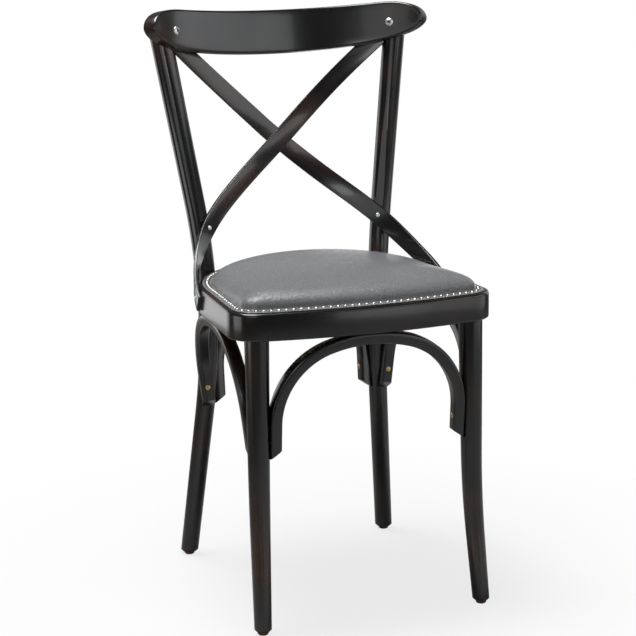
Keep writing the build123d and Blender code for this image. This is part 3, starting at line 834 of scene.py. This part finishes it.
# %% Seat pad
pad_inset = 7.0
border_width = 13.0
leather_thickness = 1.5
leather_round = 0.5
foam_crown = 32.0
side_power = 0.95
front_power = 0.66
full_behind, full_before = 30.0, -165.0


def border_grid():
    """From the underside out to the cut edge of the leather, over it and back in past the nails."""
    edge = [(border_width, 0.0), (4.0, 0.0), (leather_round, 0.0), (0.0, leather_round)]
    edge += [(0.0, leather_thickness - leather_round), (leather_round, leather_thickness)]
    edge += [(width, leather_thickness) for width in (4.0, 8.0, border_width - 1.5, border_width)]
    return closed(swept_ring(np.array(edge) + [pad_inset, seat_height]), 0)


def pad_grid(level, crown):
    """A square grid laid on the pad: each square ring of it becomes one shrunken plan.

    A point on ring m of the square sits at the same share of the way round the plan as round
    its ring. With t = quarter turn * (1 - m / last), the plan shrinks by cos(t) ** p and
    rises by crown * sin(t) ** p. A smaller p makes a fuller edge, so p falls towards the front.
    """
    last = len(plan_points) // 8
    i, j = np.meshgrid(np.arange(-last, last + 1), np.arange(-last, last + 1), indexing="ij")
    m = np.maximum(abs(i), abs(j))
    sides = [(j == -m) & (i >= 0), i == m, j == m, i == -m]
    share = np.select(sides, [i, 2 * m + j, 4 * m - i, 6 * m - j], 8 * m + i) / np.maximum(8 * m, 1)
    foot = plan_points - (pad_inset + border_width) * plan_out
    foot = np.concatenate([foot, foot[:1]])
    where = share * len(plan_points)
    flat = [np.interp(where, np.arange(len(foot)), foot[:, k]) for k in range(2)]
    forward = np.clip((full_behind - flat[1]) / (full_behind - full_before), 0.0, 1.0)
    power = side_power + (front_power - side_power) * (1 - np.cos(np.pi * forward)) / 2
    turn = np.pi / 2 * (1 - m / last)
    wide = np.cos(turn) ** power * (m > 0)
    return np.stack([flat[0] * wide, flat[1] * wide, level + crown * np.sin(turn) ** power], axis=2)


pad_grids = [border_grid(), pad_grid(seat_height, 0.0)]
pad_grids += [pad_grid(seat_height + leather_thickness, foam_crown)]
pad = piece("cushion", pad_grids, GREY, ["seat_foam", "seat_cover"], 60.0)

# %% [markdown]
# Foam presses the leather out from inside. A short cloth simulation with pressure and no gravity
# does the same, while everything up to the nails is pinned to the ring. Each point may move only
# a little, so the pad keeps its size. Smoothing and one subdivision finish it.

# %% Swell the foam
held_height = seat_height + leather_thickness + 1.0
swell_limit = 0.003


def swell(thing, held_below, most):
    """Pressure from inside for 20 frames, with low points held and each move kept under a limit."""
    mesh = thing.data
    rest = np.empty(len(mesh.vertices) * 3)
    mesh.vertices.foreach_get("co", rest)
    rest = rest.reshape(-1, 3)
    group = thing.vertex_groups.new(name="held")
    group.add(np.flatnonzero(rest[:, 2] < held_below).tolist(), 1.0, "REPLACE")
    settings = thing.modifiers.new("cloth", "CLOTH").settings
    settings.quality = 5
    settings.mass = 0.4
    settings.tension_stiffness = settings.compression_stiffness = settings.shear_stiffness = 60.0
    settings.bending_stiffness = 40.0
    settings.vertex_group_mass = "held"
    settings.use_pressure = True
    settings.uniform_pressure_force = 4.0
    settings.effector_weights.gravity = 0.0
    for number in range(1, 21):
        bpy.context.scene.frame_set(number)
    soft = thing.evaluated_get(bpy.context.evaluated_depsgraph_get()).data
    moved = np.empty(rest.size)
    soft.vertices.foreach_get("co", moved)
    step = moved.reshape(-1, 3) - rest
    size = np.linalg.norm(step, axis=1, keepdims=True)
    step *= np.minimum(1.0, most / np.maximum(size, 1e-9))
    thing.modifiers.clear()
    bpy.context.scene.frame_set(1)
    mesh.vertices.foreach_set("co", (rest + step).ravel())
    mesh.update()
    print(f"swelled by up to {size.max() * 1000:.1f} mm, kept under {most * 1000:.0f} mm")


swell(pad, held_height * MM, swell_limit)
relax = pad.modifiers.new("relax", "SMOOTH")
relax.iterations = 6
smooth = pad.modifiers.new("smooth", "SUBSURF")
smooth.levels = smooth.render_levels = 1
print("cushion modifiers:", [modifier.name for modifier in pad.modifiers])

# %% [markdown]
# ## The metals
# Four metals show on the chair: tin-coloured nails, bright screws, zinc-plated bolts and dull
# brass. They differ in colour and in how wide their shine spreads, so one function makes them all.

# %% Metals


def metal(name, colour, roughness, share=1.0):
    """A bright metal with fine wear: colour and shine change a little from place to place."""
    material, shader = new_material(name)
    wear = add_node(material, "ShaderNodeTexNoise", Scale=260.0, Detail=3.0)
    join(material, (object_map(material), wear.inputs["Vector"]))
    dull = tuple(0.72 * part for part in colour)
    tone = ramp(material, wear.outputs["Fac"], (0.35, dull), (0.65, colour))
    spread = span(material, wear.outputs["Fac"], roughness * 0.7, roughness * 1.4)
    join(material, (tone, shader.inputs["Base Color"]), (spread, shader.inputs["Roughness"]))
    shader.inputs["Metallic"].default_value = share
    return material


NAIL = metal("nail silver", (0.50, 0.49, 0.46), 0.27)
CHROME = metal("chrome", (0.88, 0.89, 0.90), 0.30, 0.85)
STEEL = metal("zinc steel", (0.46, 0.47, 0.48), 0.34)
BRASS = metal("dull brass", (0.72, 0.50, 0.20), 0.36)
print("finishes:", [finish.name for finish in (NAIL, CHROME, STEEL, BRASS)])

# %% [markdown]
# ## The nails
# Small silvered domes stand in a row round the border, nearly touching. One dome is a few
# rings of points, copied to even places on the plan in a single array.

# %% Nails
nail_inset = 7.5
nail_pitch = 11.0
nail_diameter = 8.4
nail_height = 2.4
nail_sink = 0.2


def turned_loops(radius, height):
    """Loops about +Z: radius * (cos, sin) with a radius for each turn, and one height a loop."""
    out = direction(np.linspace(0.0, 360.0, radius.shape[1]))
    level = np.broadcast_to(np.asarray(height)[:, None, None], (*radius.shape, 1))
    return np.concatenate([radius[..., None] * out, level], axis=2)


def turned_grid(profile, columns):
    """Radius and height pairs turned about +Z."""
    radius, height = np.asarray(profile, float).T
    return turned_loops(np.repeat(radius[:, None], columns + 1, axis=1), height)


def dome(radius, height, rows):
    """Profile of a low dome closed below: radius * cos t, height * sin t."""
    turn = np.linspace(0.0, np.pi / 2, rows)
    return np.concatenate([[(0.0, 0.0)], np.stack([radius * np.cos(turn), height * np.sin(turn)], axis=1)])


def nail_spots():
    """Even places on the plan moved in to the middle of the border."""
    row = plan_points - (pad_inset + nail_inset) * plan_out
    row = np.concatenate([row, row[:1]])
    run = np.concatenate([[0.0], np.cumsum(np.linalg.norm(np.diff(row, axis=0), axis=1))])
    count = round(run[-1] / nail_pitch)
    where = (np.arange(count) + 0.5) * run[-1] / count
    return np.stack([np.interp(where, run, row[:, k]) for k in range(2)], axis=1)


nail = turned_grid(dome(nail_diameter / 2, nail_height, 4), 10)
tops = [nail + [*spot, seat_height + leather_thickness - nail_sink] for spot in nail_spots()]
piece("nails", tops, NAIL, ["nailhead_trim"], 60.0)

# %% [markdown]
# ## Screws and bolts
# A few bright heads break up the black frame: domes with a hexagon socket in the crest, small
# domes on the slats, coach bolts on the posts and sunk brass screws in the arch limbs. Each
# head is turned about its own axis, then set on the face that it clamps. The sockets are part of
# the turned surface, whose inner loops follow a hexagon or a cross, so nothing has to be cut out.

# %% Head shapes
dome_share = 0.55
socket_dome_share = 0.42
socket_depth = 3.2
head_columns = 48


def placed(grid, origin, axis):
    """A turned head with its own +Z along an axis: x and y span the plane across it."""
    axis = axis / np.linalg.norm(axis)
    side = np.cross(axis, [0.0, 0.0, 1.0]) if abs(axis[2]) < 0.9 else np.array([1.0, 0.0, 0.0])
    side = side / np.linalg.norm(side)
    return origin + grid @ np.stack([side, np.cross(axis, side), axis])


def pair(grid, origin, axis):
    """A head and its mirror image on the other side of the chair."""
    own = placed(grid, origin, axis)
    return [own, mirrored(own)]


def socket_head(head, key):
    """A dome whose middle drops into a hexagon: across flats = key, radius = half key / cos(turn)."""
    turn = np.radians(np.linspace(0.0, 360.0, head_columns + 1))
    hexagon = key / 2 / np.cos((turn % (np.pi / 3)) - np.pi / 6)
    slope = np.radians([0.0, 15.0, 30.0, 45.0])
    full = np.full(head_columns + 1, head / 2)
    radius = [full * 0.0, *(full * share for share in np.cos(slope))]
    radius += [hexagon * 1.08, hexagon, hexagon, full * 0.0]
    top = head / 2 * socket_dome_share
    rim = top * 0.86
    height = [0.0, *(top * np.sin(slope)), top * 0.93, rim, rim - socket_depth, rim - socket_depth - 0.2]
    return turned_loops(np.stack(radius), height)


def cross_head(head):
    """A flat sunk head with a cross recess: the inner loop's radius follows cos(2 turn) ** 6."""
    turn = np.radians(np.linspace(0.0, 360.0, head_columns + 1))
    cross = head * (0.07 + 0.19 * np.cos(2 * turn) ** 6)
    full = np.full(head_columns + 1, head / 2)
    radius = np.stack([full * 0.0, full * 0.6, full, full * 0.94, cross * 1.1, cross * 0.7, full * 0.0])
    return turned_loops(radius, [-2.0, -2.0, 0.0, 0.2, 0.2, -1.0, -1.2])


print("socket head rows:", len(socket_head(1.0, 0.4)), "cross head rows:", len(cross_head(1.0)))

# %% [markdown]
# Places and axes come from the pieces that the screws hold: the crest's front face, the flat of a
# post, the ring's round back. A slat screw stands on the slat's outer face, its gap and thickness
# proud of what lies under it.

# %% Heads in place
crest_screw_head = 13.0
crest_screw_key = 5.0
crest_screw_x = 175.5
small_screw_head = 7.5
slat_screw_x = 163.0
bolt_head = 16.0
bolt_sink = 2.5
bolt_rise = 450.25
proud = slat_gap + slat_thickness
crest_axis = crest_normal(crest_screw_x, 0.0)
crest_spot = on_crest(crest_screw_x, 0.0, crest_screw_rise)
small_dome = turned_grid(dome(small_screw_head / 2, small_screw_head / 2 * dome_share, 7), 28)
ring_axis = np.array([*direction(slat_end[0]), 0.0])
post_axis = np.array([*direction(post_angle), 0.0])
bolt_radius = ring_back_radius + post_seat_diameter - post_housing - bolt_sink
big_dome = turned_grid(dome(bolt_head / 2, bolt_head / 2 * dome_share, 9), 36)
slat_back = on_crest(slat_screw_x, crest_thickness + proud, slat_rise(slat_screw_x))
slat_back_axis = crest_normal(slat_screw_x, crest_thickness + proud)
slat_foot = back_point(slat_end[0], ring_back_radius + proud, slat_end[1])
bolt_spot = back_point(post_angle, bolt_radius, bolt_rise)

crest_heads = pair(socket_head(crest_screw_head, crest_screw_key), crest_spot, -crest_axis)
post_heads = pair(small_dome, flat_place - flat_normal * proud, -flat_normal)
ring_heads = pair(small_dome, slat_foot, ring_axis)
back_heads = pair(cross_head(small_screw_head), slat_back, slat_back_axis)
bolt_heads = pair(big_dome, bolt_spot, post_axis)
piece("crest_screw_heads", crest_heads, CHROME, ["crest_screws"], 40.0)
piece("slat_post_heads", post_heads, CHROME, ["slat_post_screws"], 50.0)
piece("slat_ring_heads", ring_heads, CHROME, ["slat_ring_screws"], 50.0)
piece("slat_crest_heads", back_heads, STEEL, ["slat_crest_screws"], 40.0)
piece("bolt_heads", bolt_heads, STEEL, ["post_bolts"], 50.0)

# %% [markdown]
# Brass screws go through the inner face of each arch limb into the leg or post behind it. They all
# stand at one height, so a limb's place there gives the spot and the arch's own plane the axis.

# %% Brass screws
brass_screw_head = 8.0
arch_screw_rise = 292.0


def limb_spots(*ends_and_crown):
    """Places on the inner faces of both limbs at the screws' height, with the way they face."""
    middle, across, up, half_span, _ = arch_axes(*ends_and_crown)
    reach = half_span - arch_thickness
    base = middle + up * (arch_screw_rise - middle[2]) / up[2]
    return [(base + across * reach * side, -across * side) for side in (-1, 1)]


brass = cross_head(brass_screw_head)
heads = [placed(brass, *spot) for key in ("front", "rear", "side") for spot in limb_spots(*spots[key])]
heads += [mirrored(head) for head in heads[-2:]]
piece("arch_leg_heads", heads, BRASS, ["arch_leg_screws"], 40.0)

# %% [markdown]
# ## The glides
# Under each foot sits a small reddish-brown glide, a moulded disc with a bevelled rim. A profile
# turned about the foot's axis is all it takes.

# %% Glides
glide_diameter = 16.0
glide_bevel = 1.5


def plastic():
    """Reddish-brown moulded glide with light scuffs."""
    material, shader = new_material("glide brown")
    scuff = add_node(material, "ShaderNodeTexNoise", Scale=320.0, Detail=4.0)
    join(material, (object_map(material), scuff.inputs["Vector"]))
    tone = ramp(material, scuff.outputs["Fac"], (0.35, (0.11, 0.030, 0.018)), (0.7, (0.20, 0.065, 0.038)))
    join(material, (tone, shader.inputs["Base Color"]))
    join(material, (span(material, scuff.outputs["Fac"], 0.35, 0.6), shader.inputs["Roughness"]))
    return material


radius = glide_diameter / 2
profile = [(0.0, 0.0), (radius - glide_bevel, 0.0), (radius, glide_bevel)]
profile += [(radius, glide_height), (0.0, glide_height)]
feet = [at_height(line, glide_height) * [1.0, 1.0, 0.0] for line in (leg_line, post_middle)]
own = [turned_grid(profile, 36) + foot for foot in feet]
piece("glides", own + [mirrored(grid) for grid in own], plastic(), ["floor_glides"], 30.0)

# %% [markdown]
# ## Pieces that stay hidden
# The plywood board, its screws and the fixings inside the ring keep their solid shapes and
# only get a finish. They show from below, so the plywood has its figure and glue lines.

# %% Hidden pieces


def plywood():
    """Pale birch with darker glue lines across its thickness."""
    material, shader = new_material("birch plywood")
    figure = add_node(material, "ShaderNodeTexNoise", Scale=1.0, Detail=4.0)
    stretch = add_node(material, "ShaderNodeMapping", Scale=(14.0, 160.0, 900.0))
    join(material, (object_map(material), stretch.inputs["Vector"]))
    join(material, (stretch.outputs["Vector"], figure.inputs["Vector"]))
    tone = ramp(material, figure.outputs["Fac"], (0.35, (0.36, 0.24, 0.14)), (0.65, (0.52, 0.38, 0.24)))
    join(material, (tone, shader.inputs["Base Color"]))
    join(material, (span(material, figure.outputs["Fac"], 0.5, 0.7), shader.inputs["Roughness"]))
    return material


finishes = {"seat_board": plywood(), "board_screws": STEEL, "arch_ring_screws": BRASS}
finishes |= {"post_washers": STEEL, "post_nuts": STEEL}
for node, finish in finishes.items():
    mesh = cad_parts[node].data
    mesh.materials.clear()
    mesh.materials.append(finish)
print("finished:", ", ".join(finishes))

# %% [markdown]
# ## Studio
# The chair stands on a pale floor before white. Close to the chair the floor shows its shadow, and
# further out it fades to plain white. In reflections alone the floor is painted darker and a little
# warm, as painted shade, away from one painted bright patch of light, so the black lacquer mirrors
# a dim studio.

# %% Floor and background
floor_radius = 9.0
floor_sides = 96
floor_tone = (0.86, 0.86, 0.86, 1.0)
shadow_from, shadow_to = 0.25, 0.75
least_white = 0.78
light_patch_centre = (0.6, -0.7, 0.0)
light_patch_from, light_patch_to = 0.9, 1.7
painted_light_patch_tone = (0.70, 0.70, 0.70)
painted_shade_tone = (0.26, 0.23, 0.20)


def measured(material, low, high, centre=(0.0, 0.0, 0.0)):
    """A share from 0 to 1 as the distance from a place grows from low to high, in metres."""
    where = add_node(material, "ShaderNodeVectorMath")
    where.operation = "DISTANCE"
    where.inputs[1].default_value = centre
    share = add_node(material, "ShaderNodeMapRange", From_Min=low, From_Max=high)
    join(material, (object_map(material), where.inputs[0]), (where.outputs["Value"], share.inputs["Value"]))
    return share


def floor():
    """A wide pale disc: radius * (cos, sin). White to the camera far out; in reflections painted shade round
    a painted bright patch.
    """
    out = floor_radius * direction(np.linspace(0.0, 360.0, floor_sides, endpoint=False))
    rim = np.concatenate([out, np.zeros((floor_sides, 1))], axis=1)
    mesh = bpy.data.meshes.new("floor")
    mesh.from_pydata(rim.tolist(), [], [list(range(floor_sides))])
    material, shader = new_material("floor white")
    shader.inputs["Roughness"].default_value = 0.9
    shader.inputs["Specular IOR Level"].default_value = 0.1
    path = add_node(material, "ShaderNodeLightPath")
    fade = measured(material, shadow_from, shadow_to)
    fade.inputs["To Min"].default_value = least_white
    # Painted reflection: a painted bright patch of light round one place, painted shade further out, seen
    # only in reflections.
    reach = measured(material, light_patch_from, light_patch_to, light_patch_centre)
    shine = ramp(material, reach.outputs["Result"], (0.0, painted_light_patch_tone), (1.0, painted_shade_tone))
    tone = add_node(material, "ShaderNodeMix")
    tone.data_type = "RGBA"
    tone.inputs["A"].default_value = floor_tone
    share = add_node(material, "ShaderNodeMath")
    share.operation = "MULTIPLY"
    glow = add_node(material, "ShaderNodeEmission")
    mix = add_node(material, "ShaderNodeMixShader")
    out = material.node_tree.nodes["Material Output"]
    join(
        material,
        (path.outputs["Is Glossy Ray"], tone.inputs["Factor"]),
        (shine, tone.inputs["B"]),
        (tone.outputs["Result"], shader.inputs["Base Color"]),
        (fade.outputs["Result"], share.inputs[0]),
        (path.outputs["Is Camera Ray"], share.inputs[1]),
        (share.outputs["Value"], mix.inputs["Fac"]),
        (shader.outputs["BSDF"], mix.inputs[1]),
        (glow.outputs["Emission"], mix.inputs[2]),
        (mix.outputs["Shader"], out.inputs["Surface"]),
    )
    mesh.materials.append(material)
    thing = bpy.data.objects.new("floor", mesh)
    bpy.context.scene.collection.objects.link(thing)
    return thing


def white_world(level, shine):
    """White to the camera, an even grey to lit surfaces and a darker one to reflections."""
    world = bpy.data.worlds.new("studio")
    bpy.context.scene.world = world
    world.use_nodes = True
    nodes, links = world.node_tree.nodes, world.node_tree.links
    path = nodes.new("ShaderNodeLightPath")
    lit = nodes.new("ShaderNodeMapRange")
    lit.inputs["To Min"].default_value = level
    lit.inputs["To Max"].default_value = shine
    links.new(path.outputs["Is Glossy Ray"], lit.inputs["Value"])
    strength = nodes.new("ShaderNodeMapRange")
    strength.inputs["To Max"].default_value = 1.0
    links.new(lit.outputs["Result"], strength.inputs["To Min"])
    links.new(path.outputs["Is Camera Ray"], strength.inputs["Value"])
    links.new(strength.outputs["Result"], nodes["Background"].inputs["Strength"])
    nodes["Background"].inputs["Color"].default_value = (1.0, 1.0, 1.0, 1.0)


floor()
white_world(0.20, 0.10)
bpy.context.scene.view_settings.view_transform = "Standard"
print("floor:", 2 * floor_radius, "m across")

# %% [markdown]
# ## Lights
# One soft light overhead and a small one in front light the leather and cast the shadow. The other
# panels are left out of diffuse light and show only as reflections: each gives one of the grey
# sheens on the lacquer, on the crest, the slats, the ring's front, the posts and the crest's ends.

# %% Lights
light_colour = (0.97, 0.985, 1.0)


def soft_light(name, place, target, width, height, radiance):
    """A rectangular light in metres aimed at a target: power = radiance * pi * area."""
    light = bpy.data.lights.new(name, "AREA")
    light.shape = "RECTANGLE"
    light.size, light.size_y = width, height
    light.energy = radiance * np.pi * width * height
    light.color = light_colour
    thing = bpy.data.objects.new(name, light)
    aim = (Vector(target) - Vector(place)).to_track_quat("-Z", "Y")
    thing.matrix_world = Matrix.Translation(place) @ aim.to_matrix().to_4x4()
    thing.visible_camera = False
    bpy.context.scene.collection.objects.link(thing)
    return thing


def sheen(*panel):
    """A light that shows only as a reflection."""
    soft_light(*panel).visible_diffuse = False


sheen("back left panel", (-0.85, 1.45, 0.48), (-0.2, 0.0, 0.48), 1.2, 0.96, 1.45)
sheen("left panel", (-1.3, -1.5, 1.1), (0.0, 0.1, 0.8), 0.9, 1.4, 1.05)
sheen("front right panel", (0.9, -2.26, 1.68), (-0.31, -0.67, 1.68), 0.96, 0.64, 2.2)
sheen("front right low panel", (0.9, -2.26, 0.32), (-0.31, -0.67, 0.32), 0.96, 0.56, 1.75)
sheen("right panel", (1.69, -1.035, 1.48), (-0.05, -0.27, 1.48), 2.04, 0.84, 1.9)
sheen("right low panel", (1.69, -1.035, 0.32), (-0.05, -0.27, 0.32), 2.04, 0.56, 1.1)
soft_light("front panel", (-1.05, -2.45, 1.22), (0.0, 0.2, 0.7), 0.5, 0.5, 5.0)
soft_light("top", (-0.3, 0.2, 2.15), (0.0, 0.0, 0.5), 0.8, 0.8, 20.0)
sheen("backdrop", (0.8, 2.2, 0.95), (0.0, 0.0, 0.6), 2.4, 1.6, 0.15)
sheen("low left panel", (-1.6, -0.1, 0.29), (0.0, -0.1, 0.29), 0.9, 0.40, 2.2)
sheen("low right panel", (1.15, 1.7, 0.3), (0.2, 0.1, 0.8), 1.0, 0.6, 1.0)
sheen("crest end panel", (1.75, 0.9, 0.9), (0.2, 0.1, 0.9), 1.1, 1.4, 0.8)

# %% [markdown]
# ## Camera
# The photograph was taken from the front left and a little above, with a long lens. The angles
# and the place were fitted to points on the chair, so both pictures can be laid over each other.

# %% Camera
azimuth, elevation, roll = np.radians([-20.5739, 13.1332, -0.4421])
camera_place = (-1.0964, -2.9068, 1.1370)
focal_length = 117.45
level_back = np.array([np.sin(azimuth), -np.cos(azimuth), 0.0])
back = level_back * np.cos(elevation) + [0.0, 0.0, np.sin(elevation)]
right = np.cross(-back, [0.0, 0.0, 1.0])
right /= np.linalg.norm(right)
up = np.cross(back, right)
rolled_right = right * np.cos(roll) + up * np.sin(roll)
rolled_up = up * np.cos(roll) - right * np.sin(roll)
axes = np.stack([rolled_right, rolled_up, back], axis=1)
lens = bpy.data.cameras.new("camera")
lens.sensor_width = 36.0
lens.lens = focal_length
camera = bpy.data.objects.new("camera", lens)
camera.matrix_world = Matrix.Translation(camera_place) @ Matrix(axes.tolist()).to_4x4()
bpy.context.scene.collection.objects.link(camera)
bpy.context.scene.camera = camera
print("camera:", camera.matrix_world.translation)
